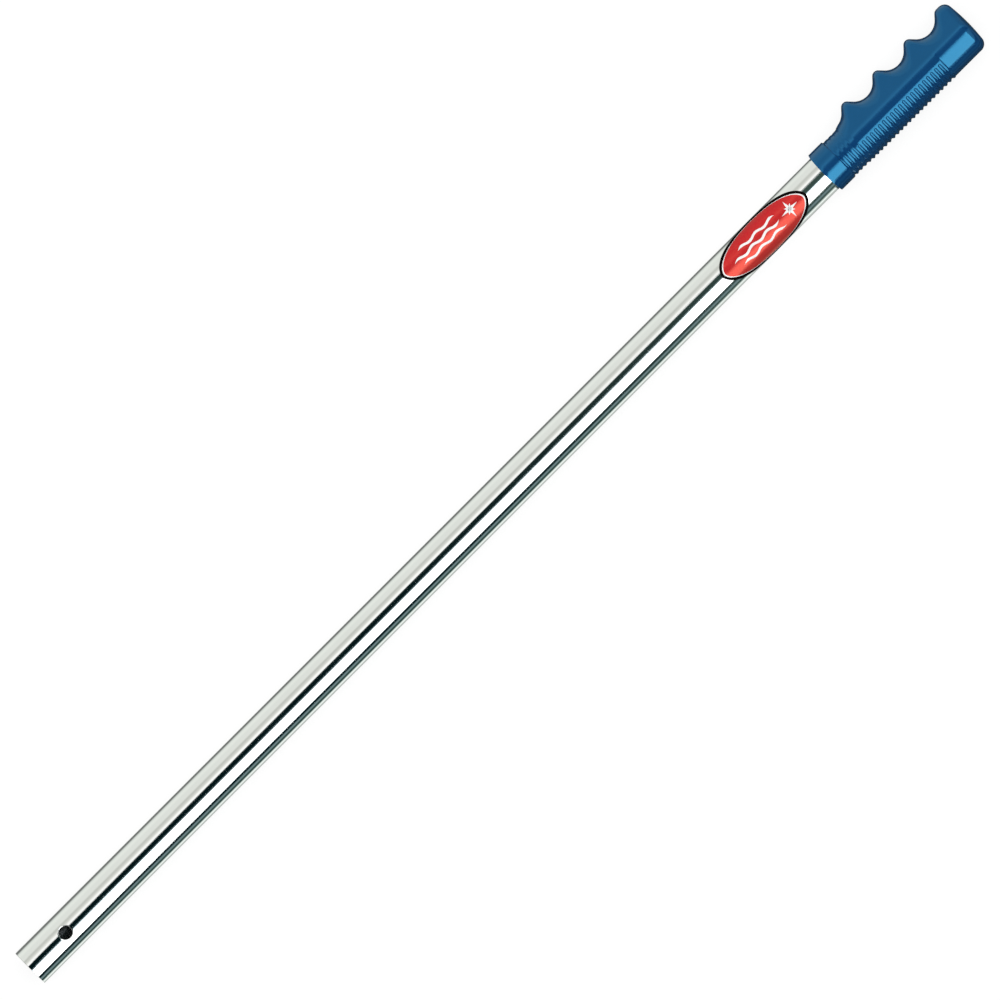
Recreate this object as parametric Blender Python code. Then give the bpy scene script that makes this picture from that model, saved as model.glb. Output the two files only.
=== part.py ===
"""Fixed-length pole handle that a boat hook head or a brush head snaps into.

Four pieces: an aluminium tube with a lock-button hole, a moulded vinyl finger grip with ribs round
its back, an oval label wrapped on the tube, and a foam float plug inside the tube.

The pieces are modelled about the tube's axis, with x measured from the open end. One empty then
carries them all to the part's frame: +X runs from the open end to the grip, +Y is the finger side,
+Z is the side with the hole and the label, and the origin is the middle of the bounding box's base.
"""

import math

import bmesh
import bpy
from mathutils import Matrix, Vector

# Driving dimensions, in metres. Places along the handle are measured from its open end.
HANDLE_LENGTH = 0.816

TUBE_RADIUS = 0.0127
TUBE_WALL = 0.00125
TUBE_EDGE_BREAK = 0.00025
TUBE_SEGMENTS = 64

LOCK_HOLE_AT = 0.031
LOCK_HOLE_RADIUS = 0.0043
LOCK_HOLE_SEGMENTS = 32

PLUG_START = 0.110
PLUG_LENGTH = 0.060
PLUG_EDGE_BREAK = 0.0008
PLUG_GAP = 0.0001

GRIP_LENGTH = 0.128
GRIP_GAP = 0.0001
GRIP_END_WALL = 0.0048
GRIP_BACK_RADIUS = 0.01435
GRIP_SEGMENTS = 48
GRIP_END_ROUNDING = 0.0068
GRIP_END_DOME = 0.0006
END_ROUNDING_STEPS = 6

COLLAR_LENGTH = 0.0122
COLLAR_REACH = 0.0148
NECK_LENGTH = 0.0118
NECK_RADIUS = 0.01405
STEP_LENGTH = 0.0003

FINGER_PITCH = 0.0270
FINGER_CRESTS = 3
FIRST_CREST_AT = 0.7262
CREST_REACH = 0.0225
CREST_ROUNDING = 0.0036
VALLEY_REACH = 0.01515
VALLEY_ROUNDING = 0.0115
LOBE_REACH = 0.0228
FLANK_TAPER = 0.79

RIB_PITCH = 0.00345
NECK_GROOVES = 4
BACK_GROOVES = 21
FIRST_BACK_GROOVE_AT = 0.7152
GROOVE_DEPTH = 0.0006
RIB_RISE = 0.0004
NECK_GROOVE_DEPTH = 0.0003
NECK_RIB_RISE = 0.0002
GROOVE_END_ANGLE = math.radians(98.6)
GROOVE_END_BLEND = math.radians(6.0)

LABEL_AT = 0.6352
LABEL_HALF_LENGTH = 0.0358
LABEL_HALF_WIDTH = 0.0164
LABEL_THICKNESS = 0.00018
LABEL_GAP = 0.00008
LABEL_LENGTH_STEPS = 28
LABEL_WIDTH_STEPS = 20
LABEL_TIP_INSET = 0.985

SHARP_EDGE = math.radians(35.0)

# Sizes that follow from the ones above.
BORE_RADIUS = TUBE_RADIUS - TUBE_WALL
GRIP_START = HANDLE_LENGTH - GRIP_LENGTH
GRIP_BORE_RADIUS = TUBE_RADIUS + GRIP_GAP
GRIP_BORE_END = HANDLE_LENGTH - GRIP_END_WALL
TUBE_END = GRIP_BORE_END - 3 * GRIP_GAP
NECK_START = GRIP_START + COLLAR_LENGTH
NECK_END = NECK_START + NECK_LENGTH
FIRST_NECK_GROOVE_AT = FIRST_BACK_GROOVE_AT - NECK_GROOVES * RIB_PITCH
RIBS_END = FIRST_BACK_GROOVE_AT + (BACK_GROOVES - 0.5) * RIB_PITCH
END_ROUNDING_START = HANDLE_LENGTH - GRIP_END_DOME - GRIP_END_ROUNDING


def clear_scene():
    """Remove every object that is in the scene."""
    for obj in list(bpy.data.objects):
        bpy.data.objects.remove(obj, do_unlink=True)


def make_material(name, colour, roughness, metallic=0.0):
    """A Principled material of one colour."""
    material = bpy.data.materials.new(name)
    material.use_nodes = True
    shader = material.node_tree.nodes["Principled BSDF"]
    shader.inputs["Base Color"].default_value = (*colour, 1.0)
    shader.inputs["Roughness"].default_value = roughness
    shader.inputs["Metallic"].default_value = metallic
    return material


def add_object(name, mesh_builder, material):
    """Turn a bmesh into a named, smooth-shaded object whose faces point out."""
    bmesh.ops.recalc_face_normals(mesh_builder, faces=mesh_builder.faces)
    mesh = bpy.data.meshes.new(name)
    mesh_builder.to_mesh(mesh)
    mesh_builder.free()
    mesh.materials.append(material)
    mesh.shade_smooth()
    mesh.set_sharp_from_angle(angle=SHARP_EDGE)
    obj = bpy.data.objects.new(name, mesh)
    bpy.context.scene.collection.objects.link(obj)
    return obj


def around_axis(x, angle, radius):
    """A point at a distance from the tube's axis. Angle 0 is the finger side, a quarter turn is up."""
    return Vector((x, radius * math.cos(angle), radius * math.sin(angle)))


def circle_ring(x, radius, segments):
    """A round ring of points about the tube's axis."""
    return [around_axis(x, math.tau * i / segments, radius) for i in range(segments)]


def skin_rings(rings, first_centre=None, last_centre=None):
    """Join rings of points by quads. A centre closes that end with a fan; with none, the ends join."""
    builder = bmesh.new()
    loops = [[builder.verts.new(point) for point in ring] for ring in rings]
    count = len(loops[0])
    pairs = list(zip(loops, loops[1:]))
    if first_centre is None:
        pairs.append((loops[-1], loops[0]))
    for near, far in pairs:
        for i in range(count):
            j = (i + 1) % count
            builder.faces.new((near[i], near[j], far[j], far[i]))
    for loop, centre in ((loops[0], first_centre), (loops[-1], last_centre)):
        if centre is None:
            continue
        tip = builder.verts.new(centre)
        for i in range(count):
            builder.faces.new((loop[i], loop[(i + 1) % count], tip))
    return builder


def turned_rings(profile, segments):
    """One ring for each (x, radius) of a turned profile."""
    return [circle_ring(x, radius, segments) for x, radius in profile]


# Tube ---------------------------------------------------------------------------------------------


def make_tube():
    """The straight tube, open at both ends, with its edges broken."""
    cut = TUBE_EDGE_BREAK
    profile = [
        (0.0, BORE_RADIUS + cut),
        (0.0, TUBE_RADIUS - cut),
        (cut, TUBE_RADIUS),
        (TUBE_END - cut, TUBE_RADIUS),
        (TUBE_END, TUBE_RADIUS - cut),
        (TUBE_END, BORE_RADIUS + cut),
        (TUBE_END - cut, BORE_RADIUS),
        (cut, BORE_RADIUS),
    ]
    aluminium = make_material("anodised_aluminium", (0.86, 0.87, 0.86), 0.16, 1.0)
    tube = add_object("tube", skin_rings(turned_rings(profile, TUBE_SEGMENTS)), aluminium)
    drill_lock_hole(tube)
    return tube


def drill_lock_hole(tube):
    """Cut the lock-button hole through the tube's upper wall."""
    builder = bmesh.new()
    bmesh.ops.create_cone(
        builder,
        cap_ends=True,
        segments=LOCK_HOLE_SEGMENTS,
        radius1=LOCK_HOLE_RADIUS,
        radius2=LOCK_HOLE_RADIUS,
        depth=TUBE_RADIUS,
        matrix=Matrix.Translation((LOCK_HOLE_AT, 0.0, TUBE_RADIUS)),
    )
    drill = add_object("lock_hole_drill", builder, tube.data.materials[0])
    drill.hide_render = True
    drill.display_type = "WIRE"
    drill.parent = tube
    hole = tube.modifiers.new("lock_hole", "BOOLEAN")
    hole.operation = "DIFFERENCE"
    hole.solver = "EXACT"
    hole.object = drill


# Float plug ---------------------------------------------------------------------------------------


def make_float_plug():
    """The foam bung that fills the bore past the socket."""
    radius = BORE_RADIUS - PLUG_GAP
    end = PLUG_START + PLUG_LENGTH
    profile = [
        (PLUG_START, radius - PLUG_EDGE_BREAK),
        (PLUG_START + PLUG_EDGE_BREAK, radius),
        (end - PLUG_EDGE_BREAK, radius),
        (end, radius - PLUG_EDGE_BREAK),
    ]
    foam = make_material("closed_cell_foam", (0.75, 0.75, 0.72), 0.9)
    builder = skin_rings(
        turned_rings(profile, TUBE_SEGMENTS),
        first_centre=(PLUG_START, 0.0, 0.0),
        last_centre=(end, 0.0, 0.0),
    )
    return add_object("float_plug", builder, foam)


# Grip ---------------------------------------------------------------------------------------------


def flank_angle():
    """The angle at which the flat flank leaves the round back, the same all along the grip."""
    return math.acos(FLANK_TAPER / (1.0 + FLANK_TAPER))


def section_radius(angle, reach, back):
    """The grip's outline at one place: a round back, two flat flanks and a narrower finger edge."""
    angle = abs((angle + math.pi) % math.tau - math.pi)
    tangent = flank_angle()
    if reach - back < 1e-6 or angle >= tangent:
        return back
    edge_rounding = back - FLANK_TAPER * (reach - back)
    edge_centre = reach - edge_rounding
    tangent_point = Vector((edge_centre, 0.0)) + edge_rounding * Vector(
        (math.cos(tangent), math.sin(tangent))
    )
    if angle >= math.atan2(tangent_point.y, tangent_point.x):
        return back / math.cos(tangent - angle)
    across = edge_centre * math.sin(angle)
    return edge_centre * math.cos(angle) + math.sqrt(edge_rounding**2 - across**2)


def wave_reach(distance):
    """The finger edge's height at a distance from a crest: a small arc, a slope, then a wide arc."""
    crest_centre = Vector((0.0, CREST_REACH - CREST_ROUNDING))
    valley_centre = Vector((FINGER_PITCH / 2, VALLEY_REACH + VALLEY_ROUNDING))
    between = valley_centre - crest_centre
    radii = CREST_ROUNDING + VALLEY_ROUNDING
    normal_angle = math.atan2(between.y, between.x) + math.acos(radii / between.length)
    normal = Vector((math.cos(normal_angle), math.sin(normal_angle)))
    slope_top = crest_centre + CREST_ROUNDING * normal
    slope_foot = valley_centre - VALLEY_ROUNDING * normal
    if distance <= slope_top.x:
        return crest_centre.y + math.sqrt(CREST_ROUNDING**2 - distance**2)
    if distance <= slope_foot.x:
        along = (distance - slope_top.x) / (slope_foot.x - slope_top.x)
        return slope_top.y + along * (slope_foot.y - slope_top.y)
    left = valley_centre.x - distance
    return valley_centre.y - math.sqrt(VALLEY_ROUNDING**2 - left**2)


def finger_reach(x):
    """How far the finger edge stands from the tube's axis, at a place along the handle."""
    if x <= NECK_START:
        return COLLAR_REACH
    if x <= NECK_END:
        return NECK_RADIUS
    lobe_crest = FIRST_CREST_AT + FINGER_CRESTS * FINGER_PITCH
    if x >= lobe_crest:
        return LOBE_REACH
    from_crest = (x - FIRST_CREST_AT) % FINGER_PITCH
    reach = wave_reach(min(from_crest, FINGER_PITCH - from_crest))
    last_valley = lobe_crest - FINGER_PITCH / 2
    if x > last_valley:
        share = (x - last_valley) / (FINGER_PITCH / 2)
        reach += share * (LOBE_REACH - CREST_REACH)
    return reach


def rib_offset(x):
    """How far the ribbed surface stands above or below the plain one, and whether on the neck."""
    steps = (x - FIRST_NECK_GROOVE_AT) / RIB_PITCH
    on_neck = x < NECK_END
    if steps < -0.5 or x > RIBS_END + 1e-6:
        return 0.0, on_neck
    groove = NECK_GROOVE_DEPTH if on_neck else GROOVE_DEPTH
    rise = NECK_RIB_RISE if on_neck else RIB_RISE
    from_groove = abs(steps - round(steps))
    return -groove + 2.0 * from_groove * (groove + rise), on_neck


def groove_share(angle):
    """1 round the back, where the grooves run, falling to 0 where they end near the top and bottom."""
    from_finger = abs((angle + math.pi) % math.tau - math.pi)
    share = (from_finger - GROOVE_END_ANGLE) / GROOVE_END_BLEND + 0.5
    return min(max(share, 0.0), 1.0)


def grip_ring(x, inset=0.0):
    """The grip's outer ring at one place. The inset pulls it in where the end is rounded."""
    offset, on_neck = rib_offset(x)
    back = NECK_RADIUS if NECK_START < x <= NECK_END else GRIP_BACK_RADIUS
    reach = finger_reach(x)
    ring = []
    for i in range(GRIP_SEGMENTS):
        angle = math.tau * i / GRIP_SEGMENTS
        share = 1.0 if on_neck else groove_share(angle)
        radius = section_radius(angle, reach, back) + share * offset - inset
        ring.append(around_axis(x, angle, radius))
    return ring


def grip_stations():
    """Places along the grip that carry a ring, up to where its end starts to round."""
    places = [GRIP_START, NECK_START, NECK_START + STEP_LENGTH]
    grooves = NECK_GROOVES + BACK_GROOVES
    places += [FIRST_NECK_GROOVE_AT + i * RIB_PITCH / 2 for i in range(2 * grooves)]
    plain_step = RIB_PITCH / 2
    plain_start = RIBS_END + STEP_LENGTH
    plain_count = round((END_ROUNDING_START - plain_start) / plain_step)
    places += [
        plain_start + (END_ROUNDING_START - plain_start) * i / plain_count
        for i in range(plain_count + 1)
    ]
    return places


def make_grip():
    """The vinyl grip: a blind bore over the tube, and the shaped and ribbed outside."""
    rings = [
        circle_ring(GRIP_BORE_END, GRIP_BORE_RADIUS, GRIP_SEGMENTS),
        circle_ring(GRIP_START, GRIP_BORE_RADIUS, GRIP_SEGMENTS),
    ]
    rings += [grip_ring(x) for x in grip_stations()]
    for i in range(1, END_ROUNDING_STEPS + 1):
        turn = math.pi / 2 * i / END_ROUNDING_STEPS
        x = END_ROUNDING_START + GRIP_END_ROUNDING * math.sin(turn)
        rings.append(grip_ring(x, GRIP_END_ROUNDING * (1.0 - math.cos(turn))))
    builder = skin_rings(
        rings,
        first_centre=(GRIP_BORE_END, 0.0, 0.0),
        last_centre=(HANDLE_LENGTH, (LOBE_REACH - GRIP_BACK_RADIUS) / 2, 0.0),
    )
    vinyl = make_material("blue_vinyl", (0.012, 0.085, 0.235), 0.3)
    return add_object("grip", builder, vinyl)


# Label --------------------------------------------------------------------------------------------


def label_half_width(share):
    """Half the label's width at a share of its half length: an oval a little sharper than an ellipse."""
    return LABEL_HALF_WIDTH * (1.0 - abs(share) ** 1.8) ** 0.6


def label_ring(share):
    """The label's closed cross-section at one place: across its outer face, and back underneath."""
    x = LABEL_AT + share * LABEL_HALF_LENGTH
    inner = TUBE_RADIUS + LABEL_GAP
    outer = inner + LABEL_THICKNESS
    spread = label_half_width(share) / TUBE_RADIUS
    angles = [
        math.pi / 2 + spread * (2.0 * i / LABEL_WIDTH_STEPS - 1.0)
        for i in range(LABEL_WIDTH_STEPS + 1)
    ]
    above = [around_axis(x, angle, outer) for angle in angles]
    below = [around_axis(x, angle, inner) for angle in reversed(angles)]
    return above + below


def make_label():
    """The oval film label, wrapped on the tube's upper side."""
    shares = [
        -LABEL_TIP_INSET * math.cos(math.pi * i / LABEL_LENGTH_STEPS)
        for i in range(LABEL_LENGTH_STEPS + 1)
    ]
    rings = [label_ring(share) for share in shares]
    middle = TUBE_RADIUS + LABEL_GAP + LABEL_THICKNESS / 2
    builder = skin_rings(
        rings,
        first_centre=(LABEL_AT - LABEL_HALF_LENGTH, 0.0, middle),
        last_centre=(LABEL_AT + LABEL_HALF_LENGTH, 0.0, middle),
    )
    film = make_material("red_label_film", (0.62, 0.015, 0.025), 0.25)
    return add_object("label", builder, film)


# Assembly -----------------------------------------------------------------------------------------


def place_in_frame(pieces):
    """Hang every piece on one empty that puts the origin in the middle of the bounding box's base."""
    points = [corner.co for piece in pieces for corner in piece.data.vertices]
    low = Vector([min(point[i] for point in points) for i in range(3)])
    high = Vector([max(point[i] for point in points) for i in range(3)])
    middle = (low + high) / 2
    handle = bpy.data.objects.new("handle", None)
    bpy.context.scene.collection.objects.link(handle)
    handle.location = (-middle.x, -middle.y, -low.z)
    for piece in pieces:
        piece.parent = handle


clear_scene()
place_in_frame([make_tube(), make_float_plug(), make_grip(), make_label()])
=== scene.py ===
"""The looks of the pole handle: fine meshes, procedural materials, a pale floor and studio light.

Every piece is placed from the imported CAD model. Along the handle, places are counted from the open
end; across it, points are given by an angle round the tube's axis, with 0 towards the finger side
(+Y) and a quarter turn straight up.
"""

import math

import bmesh
import bpy
import numpy as np
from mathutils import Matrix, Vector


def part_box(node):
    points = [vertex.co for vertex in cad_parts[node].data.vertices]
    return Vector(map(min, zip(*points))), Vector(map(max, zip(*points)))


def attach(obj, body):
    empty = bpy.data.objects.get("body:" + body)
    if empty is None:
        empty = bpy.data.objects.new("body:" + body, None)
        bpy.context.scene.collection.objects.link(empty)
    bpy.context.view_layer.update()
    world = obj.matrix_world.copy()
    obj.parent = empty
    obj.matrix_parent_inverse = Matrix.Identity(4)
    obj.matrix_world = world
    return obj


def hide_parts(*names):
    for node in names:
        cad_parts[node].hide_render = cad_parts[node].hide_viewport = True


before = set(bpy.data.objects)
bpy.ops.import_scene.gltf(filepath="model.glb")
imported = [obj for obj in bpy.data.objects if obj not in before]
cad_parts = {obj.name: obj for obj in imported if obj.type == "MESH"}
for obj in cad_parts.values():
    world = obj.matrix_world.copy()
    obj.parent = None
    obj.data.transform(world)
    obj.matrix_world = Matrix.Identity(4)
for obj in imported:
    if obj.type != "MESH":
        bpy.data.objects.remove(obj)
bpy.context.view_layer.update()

MM = 0.001

# Places and sizes read from the CAD model ---------------------------------------------------------

tube_low, tube_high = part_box("tube")
grip_low, grip_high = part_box("grip")
label_low, label_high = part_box("label")
plug_low, plug_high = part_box("float_plug")

AXIS_Y = (tube_low[1] + tube_high[1]) / 2
AXIS_Z = (tube_low[2] + tube_high[2]) / 2
OPEN_END = tube_low[0]
TUBE_RADIUS = (tube_high[2] - tube_low[2]) / 2
TUBE_LENGTH = tube_high[0] - tube_low[0]
HANDLE_LENGTH = grip_high[0] - OPEN_END
GRIP_START = grip_low[0] - OPEN_END
LABEL_AT = (label_low[0] + label_high[0]) / 2 - OPEN_END
LABEL_HALF_LENGTH = (label_high[0] - label_low[0]) / 2
BORE_RADIUS = (plug_high[2] - plug_low[2]) / 2 + 0.1 * MM
PLUG_START = plug_low[0] - OPEN_END
PLUG_LENGTH = plug_high[0] - plug_low[0]


# Mesh helpers -------------------------------------------------------------------------------------


def around(x, angle, radius):
    """Points round the tube's axis, at a place from the open end, as an array whose last axis is 3."""
    x, angle, radius = np.broadcast_arrays(x, angle, radius)
    return np.stack(
        [OPEN_END + x, AXIS_Y + radius * np.cos(angle), AXIS_Z + radius * np.sin(angle)], axis=-1
    )


def smooth(low, high, value):
    """0 below low, 1 above high, and a smooth step between."""
    share = np.clip((value - low) / (high - low), 0.0, 1.0)
    return share * share * (3.0 - 2.0 * share)


def even(start, end, count):
    """Evenly spaced values from start to end, with the end left out."""
    return list(np.linspace(start, end, count, endpoint=False))


def make_piece(name, points, faces, materials, face_slots=None, sharp=35.0):
    """A smooth-shaded piece that rides on the handle's one body."""
    mesh = bpy.data.meshes.new(name)
    mesh.from_pydata([tuple(p) for p in points], [], [tuple(f) for f in faces])
    for material in materials:
        mesh.materials.append(material)
    if face_slots is not None:
        mesh.polygons.foreach_set("material_index", np.asarray(face_slots, np.int32))
    builder = bmesh.new()
    builder.from_mesh(mesh)
    bmesh.ops.recalc_face_normals(builder, faces=builder.faces)
    builder.to_mesh(mesh)
    builder.free()
    mesh.shade_smooth()
    mesh.set_sharp_from_angle(angle=math.radians(sharp))
    piece = bpy.data.objects.new(name, mesh)
    bpy.context.scene.collection.objects.link(piece)
    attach(piece, "root")
    return piece


def band_faces(near, far):
    """Quads between two closed loops of vertex numbers."""
    near, far = np.asarray(near), np.asarray(far)
    return np.stack([near, np.roll(near, -1), np.roll(far, -1), far], axis=1).tolist()


def fan_faces(loop, tip):
    """Triangles from a closed loop of vertex numbers to one point."""
    loop = np.asarray(loop)
    return np.stack([loop, np.roll(loop, -1), np.full(len(loop), tip)], axis=1).tolist()


def ring_body(rings, first_tip=None, last_tip=None):
    """Points and faces of a body skinned over closed rings, with a point closing each end given."""
    rings = np.asarray(rings)
    count, size = rings.shape[:2]
    points = rings.reshape(-1, 3).tolist()
    loops = np.arange(count * size).reshape(count, size)
    faces = []
    for near, far in zip(loops, loops[1:]):
        faces += band_faces(near, far)
    if first_tip is None:
        faces += band_faces(loops[-1], loops[0])
        return points, faces
    points.append(tuple(first_tip))
    faces += fan_faces(loops[0], len(points) - 1)
    points.append(tuple(last_tip))
    faces += fan_faces(loops[-1], len(points) - 1)
    return points, faces


# Material helpers ---------------------------------------------------------------------------------


class Nodes:
    """A node tree, with short ways to add nodes to it."""

    def __init__(self, tree):
        self.tree = tree

    def add(self, kind, inputs=None, **properties):
        node = self.tree.nodes.new(kind)
        for key, value in properties.items():
            setattr(node, key, value)
        for key, value in (inputs or {}).items():
            if isinstance(value, bpy.types.NodeSocket):
                self.tree.links.new(value, node.inputs[key])
            else:
                node.inputs[key].default_value = value
        return node

    def maths(self, operation, first, second=0.0, third=0.0):
        inputs = {0: first, 1: second, 2: third}
        return self.add("ShaderNodeMath", inputs, operation=operation).outputs[0]

    def spread(self, value, low, high, to_low=0.0, to_high=1.0, **properties):
        inputs = {0: value, 1: low, 2: high, 3: to_low, 4: to_high}
        return self.add("ShaderNodeMapRange", inputs, **properties).outputs[0]


class Shader(Nodes):
    """A material with its surface shader, and the patterns that its colours and bumps come from."""

    def __init__(self, name, **values):
        self.material = bpy.data.materials.new(name)
        self.material.use_nodes = True
        super().__init__(self.material.node_tree)
        self.surface = self.tree.nodes["Principled BSDF"]
        for key, value in values.items():
            self.surface.inputs[key.replace("_", " ")].default_value = value

    def link(self, output, socket):
        self.tree.links.new(output, self.surface.inputs[socket])

    def place(self, scale):
        """The place on the object, stretched by a factor along each axis."""
        coordinates = self.add("ShaderNodeTexCoord").outputs["Object"]
        return self.add("ShaderNodeMapping", {0: coordinates, "Scale": scale}).outputs[0]

    def noise(self, scale, stretch=(1.0, 1.0, 1.0), detail=2.0, roughness=0.5):
        inputs = {0: self.place(stretch), "Scale": scale, "Detail": detail, "Roughness": roughness}
        return self.add("ShaderNodeTexNoise", inputs).outputs[0]

    def blend(self, factor, first, second):
        inputs = {0: factor, 6: (*first, 1.0), 7: (*second, 1.0)}
        return self.add("ShaderNodeMix", inputs, data_type="RGBA").outputs[2]

    def bump(self, height, strength, distance, under=None):
        inputs = {"Height": height, "Strength": strength, "Distance": distance}
        if under is not None:
            inputs["Normal"] = under
        return self.add("ShaderNodeBump", inputs).outputs[0]


# Materials ----------------------------------------------------------------------------------------


def anodised_aluminium():
    """Bright drawn tube: close to a mirror, with faint lines along its length and soft smudges."""
    shader = Shader("anodised_aluminium", Metallic=1.0)
    lines = shader.noise(1.0, stretch=(6.0, 2600.0, 2600.0), detail=3.0, roughness=0.6)
    smudges = shader.noise(38.0, detail=4.0)
    shader.link(shader.blend(smudges, (0.875, 0.885, 0.87), (0.93, 0.935, 0.93)), "Base Color")
    streaked = shader.spread(lines, 0.3, 0.7, 0.03, 0.055)
    smudged = shader.spread(smudges, 0.45, 0.7, 0.0, 0.012)
    shader.link(shader.maths("ADD", streaked, smudged), "Roughness")
    shader.link(shader.bump(lines, 0.05, 0.02 * MM), "Normal")
    return shader.material


def cut_aluminium():
    """The sawn and brushed end faces."""
    shader = Shader("cut_aluminium", Metallic=1.0)
    grain = shader.noise(1.0, stretch=(400.0, 5200.0, 900.0), detail=4.0, roughness=0.7)
    shader.link(shader.blend(grain, (0.68, 0.69, 0.69), (0.88, 0.88, 0.87)), "Base Color")
    shader.link(shader.spread(grain, 0.3, 0.7, 0.22, 0.4), "Roughness")
    shader.link(shader.bump(grain, 0.3, 0.03 * MM), "Normal")
    return shader.material


def painted_shade_bore_aluminium():
    """The inside of the tube: dull, with drawing lines, and dark as painted shade inside the bore."""
    shader = Shader("painted_shade_bore_aluminium", Metallic=1.0)
    lines = shader.noise(1.0, stretch=(9.0, 1500.0, 1500.0), detail=3.0, roughness=0.65)
    # painted shade: the bore's dark colour stands for the shade inside the tube; the drawing lines only
    # vary it
    shader.link(shader.blend(lines, (0.2, 0.205, 0.21), (0.34, 0.345, 0.35)), "Base Color")
    shader.link(shader.spread(lines, 0.3, 0.7, 0.34, 0.5), "Roughness")
    shader.link(shader.bump(lines, 0.25, 0.05 * MM), "Normal")
    return shader.material


def blue_vinyl():
    """Moulded vinyl: deep blue with a soft gloss, fine mould grain and slight waviness."""
    shader = Shader("blue_vinyl", IOR=2.1, Specular_Tint=(0.11, 0.6, 0.97, 1.0))
    clouds = shader.noise(60.0, detail=3.0)
    grain = shader.noise(2400.0, detail=2.0)
    shader.link(shader.blend(clouds, (0.0035, 0.041, 0.138), (0.006, 0.054, 0.17)), "Base Color")
    shader.link(shader.spread(clouds, 0.3, 0.7, 0.06, 0.10), "Roughness")
    wavy = shader.bump(clouds, 0.1, 0.12 * MM)
    shader.link(shader.bump(grain, 0.12, 0.012 * MM, under=wavy), "Normal")
    return shader.material


# Reach of the painted light lean across the tube, from its axis out to either side.
PAINTED_LEAN_REACH = 10.0 * MM


def printed_film(name, back, finger, ior=1.4, metallic=0.0, tint=(1.0, 1.0, 1.0), painted_lean=0.0):
    """One ink of the label under its clear film, with a faint print grain.

    The grain mixes the two tones at random. A painted lean shifts the mix to the first tone on the back's
    side and to the second on the finger side; it is painted light, for the tone the studio's reflections
    give each side of the tube.
    """
    shader = Shader(name, IOR=ior, Metallic=metallic, Specular_Tint=(*tint, 1.0))
    grain = shader.noise(900.0, detail=2.0)
    ripple = shader.noise(120.0, detail=1.0)
    across = shader.add("ShaderNodeSeparateXYZ", {0: shader.place((1.0, 1.0, 1.0))}).outputs["Y"]
    # painted light: leans the tone from one side of the tube to the other
    side = shader.spread(across, AXIS_Y + PAINTED_LEAN_REACH, AXIS_Y - PAINTED_LEAN_REACH, -painted_lean / 2, painted_lean / 2)
    shader.link(shader.blend(shader.maths("ADD", grain, side), finger, back), "Base Color")
    shader.link(shader.spread(ripple, 0.3, 0.7, 0.1, 0.18), "Roughness")
    shader.link(shader.bump(ripple, 0.08, 0.03 * MM), "Normal")
    return shader.material


def closed_cell_foam():
    """Pale foam with small cells, each darker in its middle as painted shade where the bump sinks into a
    pit.
    """
    shader = Shader("closed_cell_foam", Specular_IOR_Level=0.3)
    cells = shader.add(
        "ShaderNodeTexVoronoi", {0: shader.place((1.0, 1.0, 1.0)), "Scale": 900.0}
    ).outputs["Distance"]
    # painted shade: each cell is darker in its middle, where the bump makes a pit
    shader.link(shader.blend(cells, (0.5, 0.5, 0.47), (0.8, 0.8, 0.77)), "Base Color")
    shader.link(shader.spread(cells, 0.0, 0.6, 0.95, 0.75), "Roughness")
    shader.link(shader.bump(cells, 0.6, 0.25 * MM), "Normal")
    return shader.material


# Tube ---------------------------------------------------------------------------------------------

TUBE_SEGMENTS = 192
EDGE_ROUNDING = 0.3 * MM
EDGE_STEPS = 5
HOLE_AT = 31.0 * MM
HOLE_RADIUS = 4.1 * MM
HOLE_ROUNDING = 0.75 * MM
HOLE_INNER_ROUNDING = 0.25 * MM
PATCH_HALF_STEPS = 19
PATCH_HALF_LENGTH = 7.9 * MM
PATCH_RINGS = 12
PATCH_CROWDING = 0.8
# Material slots of the tube.
OUTSIDE, CUT, BORE = range(3)


def tube_stations():
    """Places along the tube that carry a ring, finely round the hole and coarsely elsewhere."""
    patch = [
        HOLE_AT + PATCH_HALF_LENGTH * i / PATCH_HALF_STEPS
        for i in range(-PATCH_HALF_STEPS, PATCH_HALF_STEPS + 1)
    ]
    before = even(EDGE_ROUNDING, patch[0], 6)
    after = list(np.linspace(patch[-1], TUBE_LENGTH - EDGE_ROUNDING, 60))[1:]
    return before + patch + after, len(before)


def rounded_end_profile(at, outwards):
    """(x, radius) from the outer surface round the end face to the bore, with broken edges."""
    turns = np.linspace(0.0, math.pi / 2, EDGE_STEPS)
    outer = [
        (at - outwards * EDGE_ROUNDING * (1 - math.sin(t)), TUBE_RADIUS - EDGE_ROUNDING * (1 - math.cos(t)))
        for t in turns[1:]
    ]
    inner = [
        (at - outwards * EDGE_ROUNDING * (1 - math.cos(t)), BORE_RADIUS + EDGE_ROUNDING * (1 - math.sin(t)))
        for t in turns[:-1]
    ]
    return outer, inner


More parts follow.
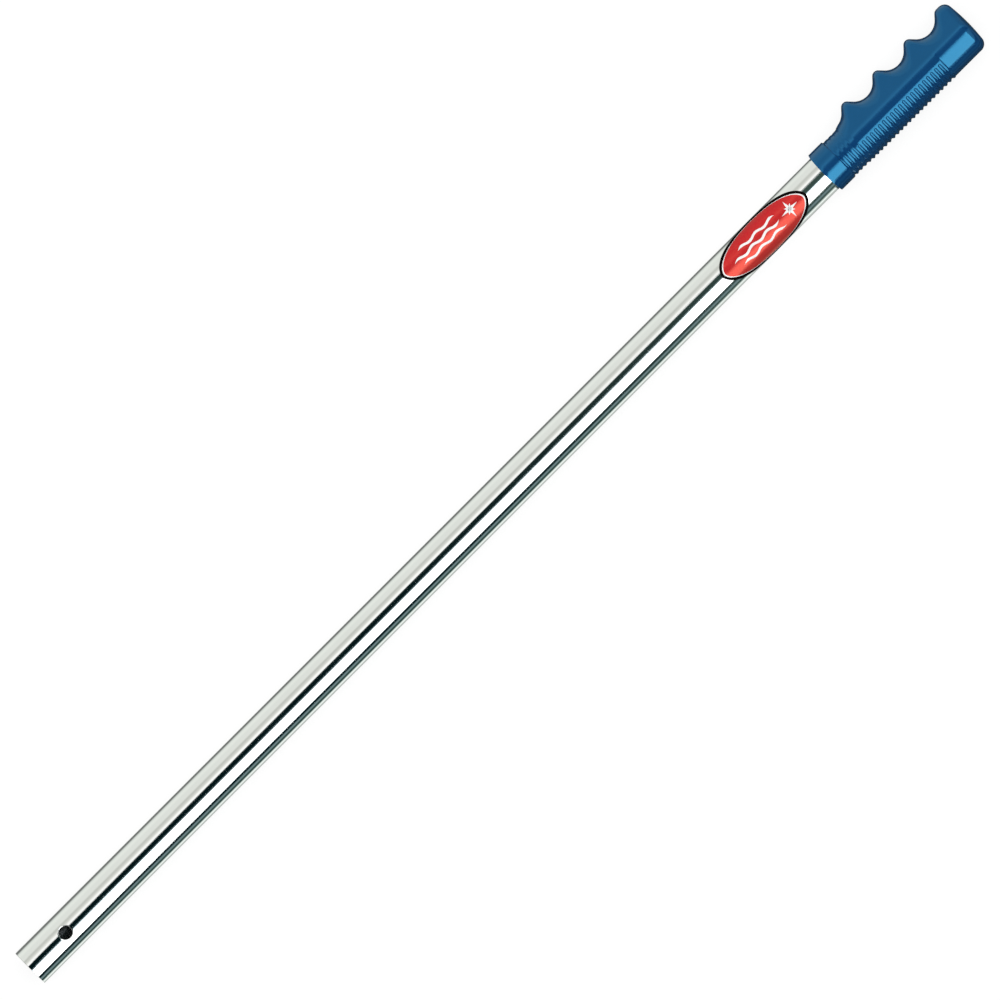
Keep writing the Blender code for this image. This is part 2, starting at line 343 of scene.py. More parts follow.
def make_tube(materials):
    """The tube: outer and inner surfaces, rounded ends, and the lock hole with its rolled rim."""
    stations, patch_start = tube_stations()
    patch_end = patch_start + 2 * PATCH_HALF_STEPS
    angles = math.tau * np.arange(TUBE_SEGMENTS) / TUBE_SEGMENTS
    top = TUBE_SEGMENTS // 4
    columns = [top + i for i in range(-PATCH_HALF_STEPS, PATCH_HALF_STEPS + 1)]

    points = []
    faces = []
    slots = []

    def add_points(new):
        start = len(points)
        points.extend(np.asarray(new).reshape(-1, 3).tolist())
        return np.arange(start, len(points))

    def add_faces(new, slot):
        faces.extend(new)
        slots.extend([slot] * len(new))

    def surface(radius, slot):
        """One long surface as a grid with a window left open for the hole."""
        grid = add_points(around(np.array(stations)[:, None], angles[None, :], radius))
        grid = grid.reshape(len(stations), TUBE_SEGMENTS)
        for row in range(len(stations) - 1):
            quads = band_faces(grid[row], grid[row + 1])
            if patch_start <= row < patch_end:
                quads = [q for i, q in enumerate(quads) if not columns[0] <= i < columns[-1]]
            add_faces(quads, slot)
        rim = [grid[patch_start, c] for c in columns[:-1]]
        rim += [grid[r, columns[-1]] for r in range(patch_start, patch_end)]
        rim += [grid[patch_end, c] for c in reversed(columns[1:])]
        rim += [grid[r, columns[0]] for r in range(patch_end, patch_start, -1)]
        return grid, np.array(rim)

    def flat(indices):
        """(along, across) of points, measured from the middle of the hole."""
        chosen = np.array([points[i] for i in indices])
        return np.stack([chosen[:, 0] - OPEN_END - HOLE_AT, chosen[:, 1] - AXIS_Y], axis=1)

    def raised(along_across, radius, drop):
        """Points over the plan, on a surface of that radius or a drop below it."""
        height = np.sqrt(radius**2 - along_across[:, 1] ** 2) - drop
        return np.stack(
            [
                OPEN_END + HOLE_AT + along_across[:, 0],
                AXIS_Y + along_across[:, 1],
                AXIS_Z + height,
            ],
            axis=1,
        )

    outer_grid, outer_rim = surface(TUBE_RADIUS, OUTSIDE)
    inner_grid, inner_rim = surface(BORE_RADIUS, BORE)
    outer_flat, inner_flat = flat(outer_rim), flat(inner_rim)
    unit = outer_flat / np.linalg.norm(outer_flat, axis=1, keepdims=True)

    loops = [(outer_rim, OUTSIDE)]
    start = unit * (HOLE_RADIUS + HOLE_ROUNDING)
    for share in np.linspace(0.0, 1.0, PATCH_RINGS)[1:]:
        plan = outer_flat + (start - outer_flat) * share ** PATCH_CROWDING
        loops.append((add_points(raised(plan, TUBE_RADIUS, 0.0)), OUTSIDE))
    for turn in np.linspace(0.0, math.pi / 2, 9)[1:]:
        plan = unit * (HOLE_RADIUS + HOLE_ROUNDING * (1 - math.sin(turn)))
        drop = HOLE_ROUNDING * (1 - math.cos(turn))
        loops.append((add_points(raised(plan, TUBE_RADIUS, drop)), OUTSIDE))
    wall_end = raised(unit * HOLE_RADIUS, BORE_RADIUS, -HOLE_INNER_ROUNDING)
    loops.append((add_points(wall_end), CUT))
    for turn in np.linspace(0.0, math.pi / 2, 5)[1:]:
        plan = unit * (HOLE_RADIUS + HOLE_INNER_ROUNDING * (1 - math.cos(turn)))
        drop = -HOLE_INNER_ROUNDING * (1 - math.sin(turn))
        loops.append((add_points(raised(plan, BORE_RADIUS, drop)), BORE))
    start = unit * (HOLE_RADIUS + HOLE_INNER_ROUNDING)
    for share in np.linspace(0.0, 1.0, PATCH_RINGS)[1:-1]:
        plan = start + (inner_flat - start) * share
        loops.append((add_points(raised(plan, BORE_RADIUS, 0.0)), BORE))
    loops.append((inner_rim, BORE))
    for (near, _), (far, slot) in zip(loops, loops[1:]):
        add_faces(band_faces(near, far), slot)

    for row, at, outwards in ((0, 0.0, -1), (-1, TUBE_LENGTH, 1)):
        outer, inner = rounded_end_profile(at, outwards)
        near = outer_grid[row]
        for i, (x, radius) in enumerate(outer + inner):
            far = add_points(around(x, angles, radius))
            add_faces(band_faces(near, far), CUT if i >= len(outer) - 1 else OUTSIDE)
            near = far
        add_faces(band_faces(near, inner_grid[row]), BORE)

    tube = make_piece("tube_body", points, faces, materials, slots)
    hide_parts("tube")


# Grip ---------------------------------------------------------------------------------------------

GRIP_BACK = 14.45 * MM
COLLAR_LENGTH = 12.55 * MM
COLLAR_REACH = 14.9 * MM
COLLAR_EDGE = 0.7 * MM
NECK_LENGTH = 11.6 * MM
NECK_RADIUS = 14.15 * MM
NECK_FINGER = 14.0 * MM
FINGER_PITCH = 27.0 * MM
FIRST_CREST = 38.75 * MM
CREST_REACH = 22.65 * MM
CREST_ROUNDING = 3.6 * MM
VALLEY_REACH = 15.25 * MM
VALLEY_ROUNDING = 11.5 * MM
LOBE_REACH = 22.85 * MM
FLANK_TAPER = 0.79
RIB_PITCH = 3.475 * MM
FIRST_PILL = 27.25 * MM
PILLS = 21
NECK_GROOVES = 4
PILL_TOP_ANGLE = math.radians(102.0)
PAD_RISE = 0.45 * MM
FLOOR_HALF_WIDTH = 0.38 * MM
WALL_END = 1.1 * MM
RIBBED_CROWN_DIP = 0.24 * MM
SMOOTH_CROWN_DIP = 0.66 * MM
BACK_BULGE = 0.15 * MM
RIM_BOW = 1.5 * MM
RIM_SETBACK = 1.2 * MM
END_ROUNDING = 5.5 * MM
END_DOME = 0.7 * MM
GRIP_CLEARANCE = 0.03 * MM
MOUTH_DEPTH = 1.0 * MM
MOUTH_FLARE = 0.35 * MM
BORE_END_GAP = 0.2 * MM

# Where the neck begins and ends, as spans before and after its two places along the grip.
NECK_STEP = (0.3 * MM, 0.35 * MM)
FINGER_RISE = (2.0 * MM, 3.2 * MM)
BACK_RISE = (1.5 * MM, 4.0 * MM)

# Depths of the grooves beside the pills, and what is added to them towards the back.
PILL_DEPTH = 0.45 * MM
PILL_DEPTH_BACK = 0.6 * MM
NECK_DEPTH = 0.17 * MM
NECK_DEPTH_TOP = 0.25 * MM
NECK_DEPTH_BACK = 0.45 * MM
PAD_EDGE_RISE = 0.08 * MM
NECK_PAD_SHARE = 0.6

# Spans of angle from the finger side over which the relief changes.
TOWARD_BACK = (math.radians(95.0), math.radians(155.0))
NECK_DEEPENS = (math.radians(60.0), math.radians(95.0))
PAD_EDGE = (math.radians(86.5), math.radians(94.5))
CROWN_DIPS = (math.radians(62.0), math.radians(108.0))
CROWN_RETURNS = (math.radians(106.0), math.radians(152.0))
BULGE_SPAN = (math.radians(115.0), math.radians(165.0))

NECK_START = GRIP_START + COLLAR_LENGTH
NECK_END = NECK_START + NECK_LENGTH
FIRST_PILL_AT = GRIP_START + FIRST_PILL
PADS_END = FIRST_PILL_AT + (PILLS - 0.25) * RIB_PITCH
CREST_AT = GRIP_START + FIRST_CREST
LOBE_AT = CREST_AT + 3 * FINGER_PITCH


def grip_angles():
    """Angles round the grip, close together where the grooves end and wider elsewhere."""
    upper = np.concatenate(
        [
            np.linspace(0, 84, 34, endpoint=False),
            np.linspace(84, 112, 48, endpoint=False),
            np.linspace(112, 180, 26, endpoint=False),
        ]
    )
    lower = 360.0 - upper[::-1]
    return np.radians(np.concatenate([upper, [180.0], lower[:-1]]))


def from_finger_side(angle):
    """The angle from the finger side, from 0 to a half turn either way round."""
    return np.abs((angle + math.pi) % math.tau - math.pi)


def neck_drop(x):
    """0 on the collar and 1 past its step down to the neck."""
    return smooth(NECK_START - NECK_STEP[0], NECK_START + NECK_STEP[1], x)


def wave_reach(distance):
    """The finger edge's height at a distance from a crest: a small arc, a slope, then a wide arc."""
    crest = np.array([0.0, CREST_REACH - CREST_ROUNDING])
    valley = np.array([FINGER_PITCH / 2, VALLEY_REACH + VALLEY_ROUNDING])
    between = valley - crest
    lean = math.acos((CREST_ROUNDING + VALLEY_ROUNDING) / np.linalg.norm(between))
    normal_angle = math.atan2(between[1], between[0]) + lean
    normal = np.array([math.cos(normal_angle), math.sin(normal_angle)])
    top = crest + CREST_ROUNDING * normal
    foot = valley - VALLEY_ROUNDING * normal
    slope = top[1] + (distance - top[0]) / (foot[0] - top[0]) * (foot[1] - top[1])
    crest_arc = crest[1] + np.sqrt(np.clip(CREST_ROUNDING**2 - distance**2, 0.0, None))
    past = valley[0] - distance
    valley_arc = valley[1] - np.sqrt(np.clip(VALLEY_ROUNDING**2 - past**2, 0.0, None))
    return np.where(distance <= top[0], crest_arc, np.where(distance <= foot[0], slope, valley_arc))


def finger_reach(x):
    """How far the finger edge stands from the axis along the grip."""
    from_crest = (x - CREST_AT) % FINGER_PITCH
    waves = wave_reach(np.minimum(from_crest, FINGER_PITCH - from_crest))
    last_valley = LOBE_AT - FINGER_PITCH / 2
    waves = waves + (LOBE_REACH - CREST_REACH) * smooth(last_valley, LOBE_AT, x)
    waves = np.where(x > LOBE_AT, LOBE_REACH, waves)
    neck = NECK_FINGER + (COLLAR_REACH - NECK_FINGER) * (1 - neck_drop(x))
    rise = smooth(NECK_END - FINGER_RISE[0], NECK_END + FINGER_RISE[1], x)
    return neck + (waves - neck) * rise


def back_radius(x):
    """The round back's radius along the grip, before its ribs."""
    rise = smooth(NECK_END - BACK_RISE[0], NECK_END + BACK_RISE[1], x)
    return GRIP_BACK + (NECK_RADIUS - GRIP_BACK) * neck_drop(x) * (1 - rise)


def section(angle, reach, back):
    """The grip's outline at one place: a round back, two flat flanks and a narrower finger edge."""
    angle = from_finger_side(angle)
    tangent = math.acos(FLANK_TAPER / (1.0 + FLANK_TAPER))
    edge = back - FLANK_TAPER * (reach - back)
    centre = reach - edge
    flank = back / np.maximum(np.cos(tangent - angle), 0.3)
    across = centre * np.sin(angle)
    tip = centre * np.cos(angle) + np.sqrt(np.clip(edge**2 - across**2, 0.0, None))
    tip_ends = math.atan2(edge * math.sin(tangent), centre + edge * math.cos(tangent))
    shape = np.where(angle >= tangent, back, np.where(angle >= tip_ends, flank, tip))
    return np.where(reach - back < 1e-6, back + (reach - back) * (0.5 + 0.5 * np.cos(angle)), shape)


def rib_relief(x, angle):
    """How far the ribbed surface stands above or below the plain back."""
    from_finger = from_finger_side(angle)
    toward_back = smooth(*TOWARD_BACK, from_finger)
    steps = (x - FIRST_PILL_AT) / RIB_PITCH
    nearest = np.clip(np.round(steps), -NECK_GROOVES, PILLS - 1)
    along = (x - FIRST_PILL_AT) - nearest * RIB_PITCH
    on_neck = nearest < 0
    past_end = np.maximum(PILL_TOP_ANGLE - from_finger, 0.0) * GRIP_BACK
    past_end = np.where(on_neck, 0.0, past_end)
    reach = np.sqrt(along**2 + past_end**2)
    square = 1.0 - smooth(FLOOR_HALF_WIDTH, WALL_END, reach)
    wavy = 0.5 + 0.5 * np.cos(math.pi * np.minimum(reach / (RIB_PITCH / 2), 1.0))
    groove = square + (wavy - square) * toward_back
    depth = PILL_DEPTH + PILL_DEPTH_BACK * toward_back
    neck_depth = NECK_DEPTH + NECK_DEPTH_TOP * smooth(*NECK_DEEPENS, from_finger)
    neck_depth = neck_depth + NECK_DEPTH_BACK * toward_back
    depth = np.where(on_neck, neck_depth, depth)
    pad = PAD_EDGE_RISE * smooth(*PAD_EDGE, from_finger)
    pad = pad + (PAD_RISE - PAD_EDGE_RISE) * toward_back
    pad = pad * np.where(on_neck, NECK_PAD_SHARE, 1.0)
    in_pads = smooth(NECK_START + 0.2 * MM, NECK_START + 0.6 * MM, x)
    in_pads = in_pads * (1 - smooth(PADS_END - 0.25 * MM, PADS_END + 0.25 * MM, x))
    return in_pads * (pad - depth * groove)


def grip_stations():
    """Places along the grip that carry a ring, up to where its end starts to round."""
    start, end = GRIP_START, HANDLE_LENGTH - END_DOME - END_ROUNDING
    places = even(start + COLLAR_EDGE, NECK_START - 0.4 * MM, 8)
    places += even(NECK_START - 0.4 * MM, NECK_START + 0.6 * MM, 9)
    ribs = round((PADS_END + 0.5 * MM - NECK_START - 0.6 * MM) / (RIB_PITCH / 12))
    places += even(NECK_START + 0.6 * MM, PADS_END + 0.5 * MM, ribs)
    return places + list(np.linspace(PADS_END + 0.5 * MM, end, 42))


def crown_dip(x, angle):
    """How far the main part's back lies inside a plain circle, which turns its crown to the fingers."""
    from_finger = from_finger_side(angle)
    dip = smooth(*CROWN_DIPS, from_finger)
    dip = dip * (1.0 - smooth(*CROWN_RETURNS, from_finger))
    past_ribs = smooth(PADS_END - 0.5 * MM, PADS_END + 0.5 * MM, x)
    depth = RIBBED_CROWN_DIP + (SMOOTH_CROWN_DIP - RIBBED_CROWN_DIP) * past_ribs
    return depth * dip * smooth(NECK_END - 3.0 * MM, NECK_END + 4.0 * MM, x)


def back_bulge(angle):
    """How far the back stands out beyond the plain circle."""
    from_finger = from_finger_side(angle)
    return BACK_BULGE * smooth(*BULGE_SPAN, from_finger)


def rim_shift(x, angle):
    """How far the collar's rim is set along the tube: it bows towards the socket on the upper side."""
    share = 1.0 - smooth(GRIP_START, GRIP_START + 6.0 * MM, x)
    return share * (RIM_SETBACK - RIM_BOW * np.maximum(np.sin(angle), 0.0))


def grip_ring(x, angles, inset=0.0):
    """The grip's outer surface at one place, drawn in by an inset."""
    radius = section(angles, finger_reach(x), back_radius(x)) + rib_relief(x, angles)
    radius = radius + back_bulge(angles) - crown_dip(x, angles) - inset
    return around(x + rim_shift(x, angles), angles, radius)


def make_grip(material):
    """The moulded grip: blind bore, collar, neck, ribbed back, finger crests and rounded end.

    The collar's end face has a V-shaped groove between the bore's mouth and a sharp outer edge.
    """
    angles = grip_angles()
    bore = TUBE_RADIUS + GRIP_CLEARANCE
    bore_end = TUBE_LENGTH + BORE_END_GAP
    rings = [around(x, angles, bore) for x in np.linspace(bore_end, GRIP_START + MOUTH_DEPTH, 6)]
    rings.append(around(GRIP_START + rim_shift(GRIP_START, angles), angles, bore + MOUTH_FLARE))
    for turn in np.linspace(0.0, math.pi / 2, 7)[:-1]:
        step = COLLAR_EDGE * (1 - math.sin(turn))
        rings.append(grip_ring(GRIP_START + step, angles, step))
    rings += [grip_ring(x, angles) for x in grip_stations()]
    end_start = HANDLE_LENGTH - END_DOME - END_ROUNDING
    for turn in np.linspace(0.0, math.pi / 2, 18)[1:]:
        inset = END_ROUNDING * (1 - math.cos(turn))
        rings.append(grip_ring(end_start + END_ROUNDING * math.sin(turn), angles, inset))
    centre = np.array([OPEN_END + HANDLE_LENGTH, AXIS_Y + (LOBE_REACH - GRIP_BACK) / 2, AXIS_Z])
    rim = rings[-1]
    for share in np.linspace(1.0, 0.0, 9)[1:-1]:
        ring = centre + (rim - centre) * share
        ring[:, 0] = centre[0] - END_DOME * share**2
        rings.append(ring)
    middle = around(bore_end, 0.0, 0.0)
    points, faces = ring_body(rings, first_tip=middle, last_tip=centre)
    grip = make_piece("grip_moulding", points, faces, [material], sharp=60.0)
    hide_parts("grip")


# Label --------------------------------------------------------------------------------------------

LABEL_HALF_WIDTH = 17.8 * MM
LABEL_TURN = 0.6 * MM
LABEL_EXTRA = 0.4 * MM
FILM_BASE = 0.02 * MM
FILM_THICKNESS = 0.13 * MM
INK_THICKNESS = 0.012 * MM
OUTLINE_POINTS = 220
OUTLINE_POWERS = (1.8, 0.58)
BORDER = (1.8 * MM, 3.0 * MM)
KEYLINE = (2.7 * MM, 3.25 * MM)


def label_outline(inset_along=0.0, inset_across=0.0):
    """The oval's outline in the flat, as (along, across) pairs: a little sharper than an ellipse."""
    turns = math.tau * np.arange(OUTLINE_POINTS) / OUTLINE_POINTS
    share = np.cos(turns)
    half_width = (1.0 - np.abs(share) ** OUTLINE_POWERS[0]) ** OUTLINE_POWERS[1]
    along = (LABEL_HALF_LENGTH + LABEL_EXTRA - inset_along) * share
    across = (LABEL_HALF_WIDTH - inset_across) * half_width * np.sign(np.sin(turns))
    return np.stack([along, across], axis=1)


def wrap(flat, height):
    """Points in the flat wrapped on the tube's upper side. Across is towards the finger side."""
    flat = np.asarray(flat)
    angle = math.pi / 2 - (flat[..., 1] - LABEL_TURN) / TUBE_RADIUS
    return around(LABEL_AT + flat[..., 0], angle, TUBE_RADIUS + height)


def make_label_film(red, black, white):
    """The film: red field, white keyline and black border on its face, and a plain back."""
    top = FILM_BASE + FILM_THICKNESS
    inner = label_outline(*KEYLINE)
    rings = [wrap(inner * share, top) for share in np.linspace(0.04, 1.0, 16)]
    slots = [0] * 15
    rings.append(wrap(label_outline(*BORDER), top))
    slots.append(2)
    rings.append(wrap(label_outline(0.5 * BORDER[0], 0.5 * BORDER[1]), top))
    rings.append(wrap(label_outline(0.05 * MM, 0.05 * MM), top))
    rings.append(wrap(label_outline(), top - 0.05 * MM))
    rings.append(wrap(label_outline(), FILM_BASE))
    slots += [1] * 4
    rings += [wrap(label_outline() * share, FILM_BASE) for share in np.linspace(1.0, 0.04, 12)[1:]]
    slots += [1] * 11
    points, faces = ring_body(rings, wrap((0, 0), top), wrap((0, 0), FILM_BASE))
    face_slots = np.repeat(slots, OUTLINE_POINTS).tolist()
    face_slots += [0] * OUTLINE_POINTS + [1] * OUTLINE_POINTS
    film = make_piece("label_film", points, faces, [red, black, white], face_slots)
    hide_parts("label")


def make_ink(name, outline_pairs, material):
    """A thin printed shape: a strip between two flat lines of points, wrapped on the film."""
    base = FILM_BASE + FILM_THICKNESS + 0.004 * MM
    one, other = (np.asarray(line) for line in outline_pairs)
    share = np.linspace(0.0, 1.0, 5)[:, None, None]
    across = one[None] + (other - one)[None] * share
    top = wrap(across, base + INK_THICKNESS)
    bottom = wrap(across, base)
    rings = np.concatenate([top, bottom[::-1]], axis=0).transpose(1, 0, 2)
    points, faces = ring_body(rings, rings[0].mean(axis=0), rings[-1].mean(axis=0))
    ink = make_piece(name, points, faces, [material], sharp=30.0)
    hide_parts("label")


def wave_line(middle, start, end, height, length, thickness):
    """A wavy printed line that thins to nothing at both ends."""
    along = np.linspace(start, end, 160)
    centre = middle + height * np.sin(math.tau * (along - start) / length)
    share = (along - start) / (end - start)
    half = thickness / 2 * np.clip(np.sin(math.pi * share) * 3.0, 0.05, 1.0)
    return np.stack([along, centre - half], axis=1), np.stack([along, centre + half], axis=1)


def star_ray(centre, angle, length, half_width):
    """One pointed ray of a compass star, from its middle to its tip."""
    share = np.linspace(0.0, 1.0, 14)
    out = np.array([math.cos(angle), math.sin(angle)])
    side = np.array([-out[1], out[0]])
    spine = np.asarray(centre) + np.outer(share * length, out)
    width = np.where(share < 0.22, share / 0.22, (1 - share) / 0.78) * half_width + 0.02 * MM
    return spine - width[:, None] * side, spine + width[:, None] * side


STAR_AT = (22.5 * MM, 0.5 * MM)
STAR_RAYS = 8
LONG_RAY = 6.4 * MM
SHORT_RAY = 3.6 * MM
RAY_HALF_WIDTH = 0.95 * MM
# Each wave's place across the label and its two ends along it, in millimetres.
WAVES = ((4.6, -18.0, 13.0), (0.2, -25.0, 13.5), (-4.4, -21.0, 14.5))
WAVE_HEIGHT = 0.75 * MM
WAVE_LENGTH = 12.5 * MM
WAVE_THICKNESS = 1.6 * MM


def make_label_print(white):
    """A plain nautical motif: a compass star and three waves."""
    for i in range(STAR_RAYS):
        length = LONG_RAY if i % 2 == 0 else SHORT_RAY
        ray = star_ray(STAR_AT, math.tau * i / STAR_RAYS, length, RAY_HALF_WIDTH)
        make_ink(f"label_star_ray_{i + 1}", ray, white)
    for i, (middle, start, end) in enumerate(WAVES):
        line = wave_line(middle * MM, start * MM, end * MM, WAVE_HEIGHT, WAVE_LENGTH, WAVE_THICKNESS)
        make_ink(f"label_wave_{i + 1}", line, white)


# Float plug ---------------------------------------------------------------------------------------


PLUG_SEGMENTS = 72
PLUG_CLEARANCE = 0.06 * MM
PLUG_WAIST = 1.2 * MM
PLUG_UNEVENNESS = 0.03 * MM


def make_float_plug(material):
    """The foam bung: a slightly uneven cut face, and a waist a little narrower than its two ends."""
    angles = math.tau * np.arange(PLUG_SEGMENTS) / PLUG_SEGMENTS
    radius = BORE_RADIUS - PLUG_CLEARANCE
    end = PLUG_START + PLUG_LENGTH
    rng = np.random.default_rng(7)
    rings = []
    for share in (0.15, 0.35, 0.55, 0.75):
        uneven = rng.normal(0, PLUG_UNEVENNESS, PLUG_SEGMENTS)
        rings.append(around(PLUG_START + uneven, angles, radius * share))
    steps = [PLUG_WAIST * (1 - math.sin(turn)) for turn in np.linspace(0.0, math.pi / 2, 6)]
    rings += [around(PLUG_START + step, angles, radius - step) for step in reversed(steps)]
    rings += [around(end - step, angles, radius - step) for step in steps]
    points, faces = ring_body(rings, around(PLUG_START, 0.0, 0.0), around(end, 0.0, 0.0))
    plug = make_piece("float_plug_foam", points, faces, [material])
    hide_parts("float_plug")


# Floor, light and camera --------------------------------------------------------------------------

# The studio as seen round the handle's length: degrees from straight up, plus towards the back of
# the grip, and the light's colour there. Two long soft panels stand either side of a dark gap.
STUDIO_BANDS = (
    (-180, (0.30, 0.31, 0.30)),
    (-150, (0.18, 0.19, 0.18)),
    (-136, (0.18, 0.19, 0.18)),
    (-122, (0.70, 0.74, 0.70)),
    (-110, (0.84, 0.88, 0.83)),
    (-98, (0.84, 0.87, 0.82)),
    (-85, (0.78, 0.81, 0.77)),
    (-62, (0.80, 0.82, 0.78)),
    (-51, (0.56, 0.58, 0.54)),
    (-38, (0.72, 0.73, 0.69)),
    (-29, (1.04, 1.04, 1.01)),
    (-20.6, (1.10, 1.10, 1.10)),
    (-17.0, (0.002, 0.009, 0.010)),
    (1, (0.000, 0.006, 0.008)),
    (6.8, (0.012, 0.026, 0.030)),
    (10, (0.08, 0.11, 0.12)),
    (13.8, (0.27, 0.33, 0.35)),
    (18.5, (0.80, 0.88, 0.90)),
    (21.5, (1.00, 1.00, 1.00)),
    (63.0, (1.00, 1.00, 1.00)),
    (67.0, (0.010, 0.040, 0.045)),
    (72, (0.000, 0.008, 0.010)),
    (80, (0.000, 0.008, 0.012)),
    (88.5, (0.19, 0.28, 0.29)),
    (92.5, (0.19, 0.27, 0.28)),
    (102, (0.020, 0.055, 0.048)),
    (111, (0.018, 0.055, 0.046)),
    (121, (0.74, 0.83, 0.78)),
    (129, (1.08, 1.14, 1.10)),
    (142, (0.51, 0.545, 0.52)),
    (160, (0.52, 0.55, 0.53)),
    (180, (0.30, 0.31, 0.30)),
)
PANEL_STRENGTH = 3.7
PANEL_SPAN = ((8, 17), (65.0, 67.5))
PANEL_ENDS = (0.36, 0.42)
DIMMING_SPAN = (0.4, 0.95)
DIMMEST = 0.55
# Over these narrow ranges of the direction's x part the bands turn a little and a haze comes up. They
# fall on the handle's two ends only from the scene's own camera.
TURN_AT_SOCKET = ((-0.0169, -0.0125), -5.0)
TURN_AT_GRIP = ((0.0078, 0.0112), 7.5)
HAZE_AT_GRIP = ((0.0020, 0.0112), (0.050, 0.088, 0.077, 1.0))
OVERHEAD_DIRECTION = (0.0, 0.06, 1.0)
OVERHEAD_POWER = 2.5
OVERHEAD_STRENGTH = 2.55
OVERHEAD_FILL = 0.02
BACKGROUND = (0.95, 0.95, 0.95, 1.0)


def make_world():
    """A studio of long soft panels, drawn by direction only. The camera sees a plain background."""
    world = bpy.data.worlds.new("studio")
    world.use_nodes = True
    world.cycles.sampling_method = "NONE"
    bpy.context.scene.world = world
    tree = world.node_tree
    tree.nodes.clear()

    nodes = Nodes(tree)
    add, maths, spread = nodes.add, nodes.maths, nodes.spread

    direction = add("ShaderNodeTexCoord").outputs["Generated"]
    along, across, up = add("ShaderNodeSeparateXYZ", {0: direction}).outputs
    (low, high), turn = TURN_AT_SOCKET
    socket_turn = spread(along, low, high, math.radians(turn), 0.0)
    (low, high), turn = TURN_AT_GRIP
    grip_turn = spread(along, low, high, 0.0, math.radians(turn))
    angle = maths("ARCTAN2", maths("MULTIPLY", across, -1.0), up)
    angle = maths("ADD", angle, maths("ADD", socket_turn, grip_turn))
    place = maths("ADD", maths("DIVIDE", angle, math.tau), 0.5)

    bands = add("ShaderNodeValToRGB", {0: place})
    ramp = bands.color_ramp
    while len(ramp.elements) > 1:
        ramp.elements.remove(ramp.elements[-1])
    for i, (degrees, colour) in enumerate(STUDIO_BANDS):
        position = 0.5 + degrees / 360.0
        element = ramp.elements[0] if i == 0 else ramp.elements.new(position)
        element.position = position
        element.color = (*colour, 1.0)

    # One panel is brighter than the rest. It ends a little way along, and the bands dim further out.
    degrees = maths("MULTIPLY", angle, 180.0 / math.pi)
    (rise_from, rise_to), (fall_from, fall_to) = PANEL_SPAN
    rise = spread(degrees, rise_from, rise_to, interpolation_type="SMOOTHSTEP")
    fall = spread(degrees, fall_from, fall_to, 1.0, 0.0)
    steep = maths("ABSOLUTE", along)
    on_panel = maths("MULTIPLY", maths("MULTIPLY", rise, fall), spread(steep, *PANEL_ENDS, 1.0, 0.0))
    dimming = spread(steep, *DIMMING_SPAN, 1.0, DIMMEST)
    strength = maths("MULTIPLY", maths("MULTIPLY_ADD", on_panel, PANEL_STRENGTH - 1.0, 1.0), dimming)
    (low, high), tone = HAZE_AT_GRIP
    hazy = add("ShaderNodeMix", {
        0: spread(along, low, high), 6: bands.outputs[0], 7: tone
    }, data_type="RGBA", blend_type="LIGHTEN").outputs[2]
    studio = add("ShaderNodeBackground", {0: hazy, 1: strength}).outputs[0]

    # Matt surfaces are lit by one broad light overhead, a little towards the finger side.
    lit_from = add(
        "ShaderNodeVectorMath", {0: direction, 1: OVERHEAD_DIRECTION}, operation="DOT_PRODUCT"
    ).outputs["Value"]
    overhead = maths("POWER", maths("MAXIMUM", lit_from, 0.0), OVERHEAD_POWER)
    overhead = maths("ADD", maths("MULTIPLY", overhead, OVERHEAD_STRENGTH), OVERHEAD_FILL)
    matt_light = add("ShaderNodeBackground", {0: (1.0, 1.0, 1.0, 1.0), 1: overhead}).outputs[0]

    plain = add("ShaderNodeBackground", {0: BACKGROUND, 1: 1.0}).outputs[0]
    path = add("ShaderNodeLightPath").outputs
    lit = add("ShaderNodeMixShader", {0: path["Is Glossy Ray"], 1: matt_light, 2: studio}).outputs[0]
    seen = add("ShaderNodeMixShader", {0: path["Is Camera Ray"], 1: lit, 2: plain}).outputs[0]
    add("ShaderNodeOutputWorld", {0: seen})


def make_plane(name, low, high, height, shader):
    """A level rectangle of the stage, which isn't part of the object."""
    mesh = bpy.data.meshes.new(name)
    corners = [(low[0], low[1]), (high[0], low[1]), (high[0], high[1]), (low[0], high[1])]
    mesh.from_pydata([(x, y, height) for x, y in corners], [], [(0, 1, 2, 3)])
    mesh.materials.append(shader.material)
    plane = bpy.data.objects.new(name, mesh)
    bpy.context.scene.collection.objects.link(plane)
    plane.visible_diffuse = False
    return plane


def make_floor():
    """A plain pale floor, bright enough that the handle's shadow stays faint."""
    shader = Shader("floor", Base_Color=(0.15, 0.15, 0.15, 1.0), Roughness=1.0, Specular_IOR_Level=0.0)
    shader.surface.inputs["Emission Color"].default_value = (1.0, 1.0, 1.0, 1.0)
    shader.surface.inputs["Emission Strength"].default_value = 0.86
    floor = make_plane("floor", (-12.0, -12.0), (12.0, 12.0), -0.1 * MM, shader)
    floor.visible_glossy = False


# Reach of the painted shade card under the grip, which stands in for the shadowed floor in reflections.
CARD_BEFORE_GRIP = 0.3 * MM
CARD_PAST_GRIP = 60.0 * MM
CARD_TOWARD_BACK = 70.0 * MM
CARD_TOWARD_FINGERS = 34.0 * MM


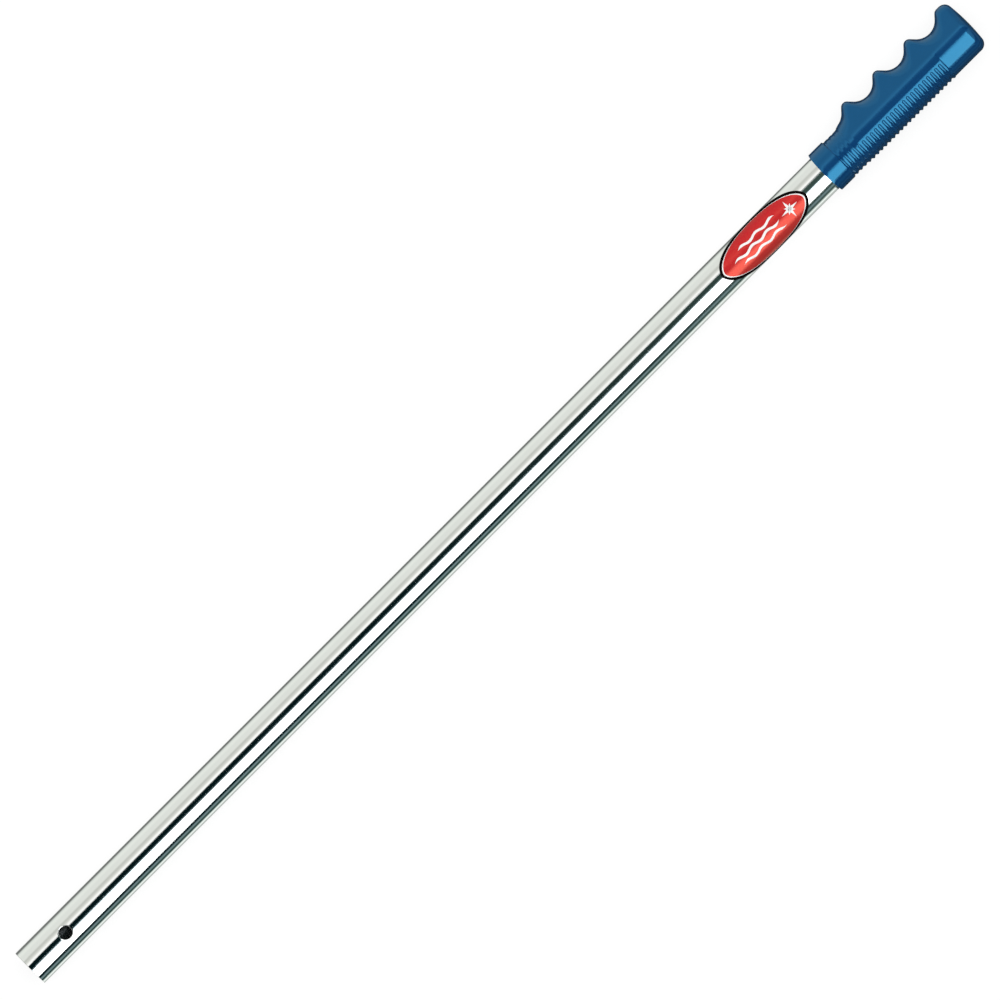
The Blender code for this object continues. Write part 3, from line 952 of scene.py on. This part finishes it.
def make_painted_shade_card():
    """Painted shade under the grip: a dim card seen only in gloss, in place of the floor in the grip's
    shadow. Its faint teal glow is painted light, and the grip and the tube beside it reflect the card as
    darkened lower edges.
    """
    shader = Shader("painted_shade_card", Base_Color=(0.0, 0.0, 0.0, 1.0), Roughness=1.0, Specular_IOR_Level=0.0)
    # painted shade: a faint teal glow, far dimmer than the floor, that stands in for the floor in the
    # grip's shadow
    shader.surface.inputs["Emission Color"].default_value = (0.6, 0.95, 1.0, 1.0)
    shader.surface.inputs["Emission Strength"].default_value = 0.1
    low = (grip_low[0] - CARD_BEFORE_GRIP, AXIS_Y - CARD_TOWARD_BACK)
    high = (grip_high[0] + CARD_PAST_GRIP, AXIS_Y + CARD_TOWARD_FINGERS)
    card = make_plane("painted_shade_card", low, high, -0.05 * MM, shader)
    card.visible_camera = False
    card.visible_shadow = False


CAMERA_DISTANCE = 24.0
SENSOR_WIDTH = 36.0
FIELD_WIDTH = 0.6126
CAMERA_AT = 406.38 * MM
CAMERA_ACROSS = -0.77 * MM


def make_camera():
    """A very long lens straight above, turned so that the handle runs along the picture's diagonal."""
    data = bpy.data.cameras.new("camera")
    data.sensor_width = SENSOR_WIDTH
    data.lens = SENSOR_WIDTH * CAMERA_DISTANCE / FIELD_WIDTH
    data.clip_end = 100.0
    camera = bpy.data.objects.new("camera", data)
    bpy.context.scene.collection.objects.link(camera)
    camera.location = (OPEN_END + CAMERA_AT, AXIS_Y + CAMERA_ACROSS, AXIS_Z + CAMERA_DISTANCE)
    camera.rotation_euler = (0.0, 0.0, -math.radians(45.0))
    bpy.context.scene.camera = camera


# Assembly -----------------------------------------------------------------------------------------

white_ink = printed_film("white_ink", (0.82, 0.82, 0.81), (0.88, 0.88, 0.87))
# The red's two tones mix as print grain. Its lean is painted light: more orange on the back's side, purer
# red on the finger side.
red_ink = printed_film(
    "red_ink", (0.60, 0.046, 0.038), (0.60, 0.003, 0.018),
    ior=1.42, metallic=0.18, tint=(0.8, 1.0, 0.6), painted_lean=0.8,
)
black_ink = printed_film("black_ink", (0.003, 0.002, 0.002), (0.006, 0.004, 0.004), ior=1.03)

make_tube([anodised_aluminium(), cut_aluminium(), painted_shade_bore_aluminium()])
make_grip(blue_vinyl())
make_label_film(red_ink, black_ink, white_ink)
make_label_print(white_ink)
make_float_plug(closed_cell_foam())
make_world()
make_floor()
make_painted_shade_card()
make_camera()

scene = bpy.context.scene
scene.view_settings.view_transform = "Standard"
scene.view_settings.look = "None"
